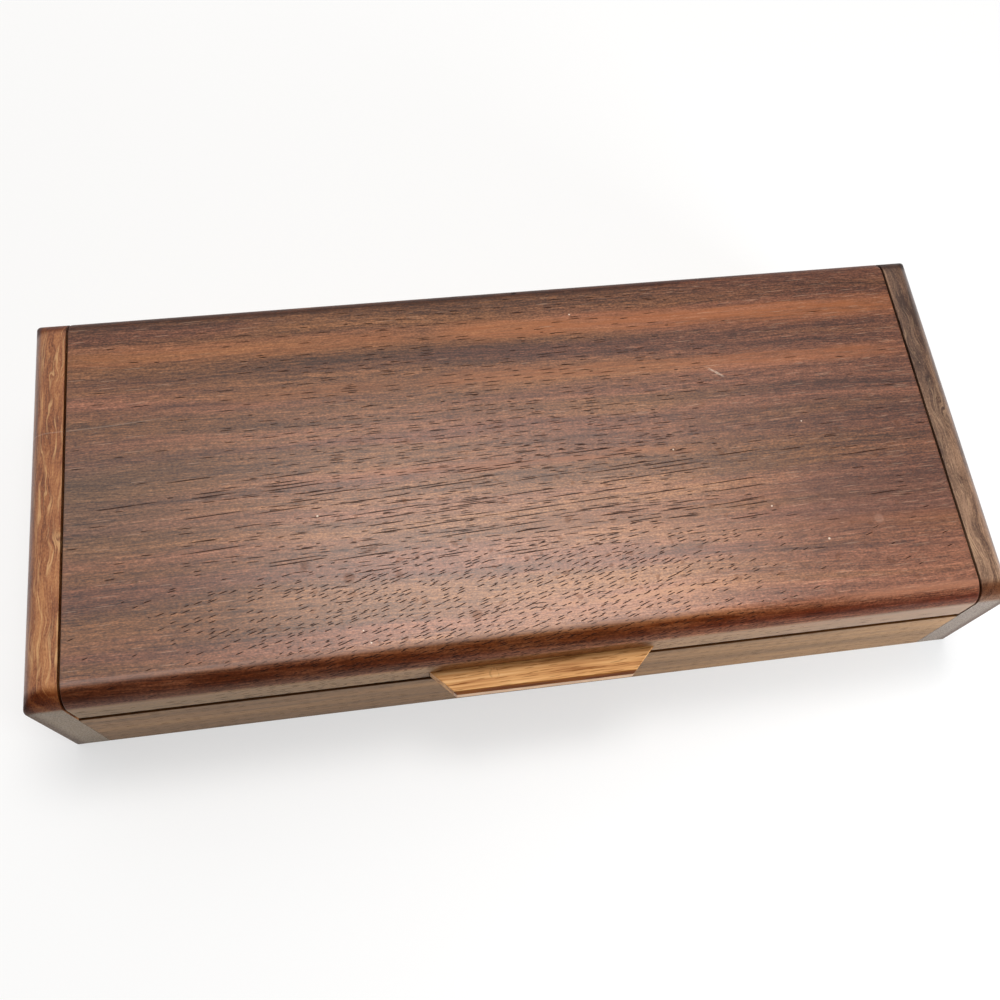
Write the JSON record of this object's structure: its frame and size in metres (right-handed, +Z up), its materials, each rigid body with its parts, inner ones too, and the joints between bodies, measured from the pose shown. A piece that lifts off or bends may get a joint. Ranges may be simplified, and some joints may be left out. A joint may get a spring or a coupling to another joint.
{
  "type": "wooden valet box",
  "caption": "Long low box of dark wood with full-height end blocks and a thick pin-hinged lid with a tapered finger pull, lined inside and divided into compartments.",
  "frame": {"origin": "on the underside, at the middle of the box's whole footprint, finger pull included", "axes": "+X along the box to the right, +Y from the finger pull to the back, +Z up"},
  "size_m": [0.3026, 0.1366, 0.053],
  "materials": {
    "rosewood": "satin oiled rosewood with dark pores and reddish streaks along the grain",
    "pale_rosewood": "satin oiled rosewood near the sapwood, orange-brown with pale streaks",
    "brown_rosewood": "satin oiled rosewood, mid brown",
    "oak": "satin oiled oak, golden",
    "birch_panel": "plain sanded birch",
    "beech": "raw beech dowel",
    "brass": "drawn rod",
    "suede": "dark brown suede over thin board"
  },
  "bodies": {
    "base": {"end_block_left": "pale_rosewood", "end_block_right": "brown_rosewood", "front_rail": "rosewood", "back_rail": "rosewood", "bottom_panel": "birch_panel", "divider_left": "rosewood", "divider_right": "rosewood", "liner_front_left": "rosewood", "liner_front_middle": "rosewood", "liner_front_right": "rosewood", "liner_back_left": "rosewood", "liner_back_middle": "rosewood", "liner_back_right": "rosewood", "liner_end_left": "rosewood", "liner_end_right": "rosewood", "lining_left": "suede", "lining_middle": "suede", "lining_right": "suede", "dowel_front_left_lower": "beech", "dowel_front_left_upper": "beech", "dowel_front_right_lower": "beech", "dowel_front_right_upper": "beech", "dowel_back_left_lower": "beech", "dowel_back_left_upper": "beech", "dowel_back_right_lower": "beech", "dowel_back_right_upper": "beech", "hinge_pin_left": "brass", "hinge_pin_right": "brass"},
    "lid": {"lid": "rosewood", "finger_pull": "oak"}
  },
  "joints": [
    {"name": "lid_hinge", "type": "hinge", "parent": "base", "child": "lid", "pos_m": [0, 0.06177, 0.0403], "axis": [-1, 0, 0], "range_deg": [0, 97]}
  ]
}
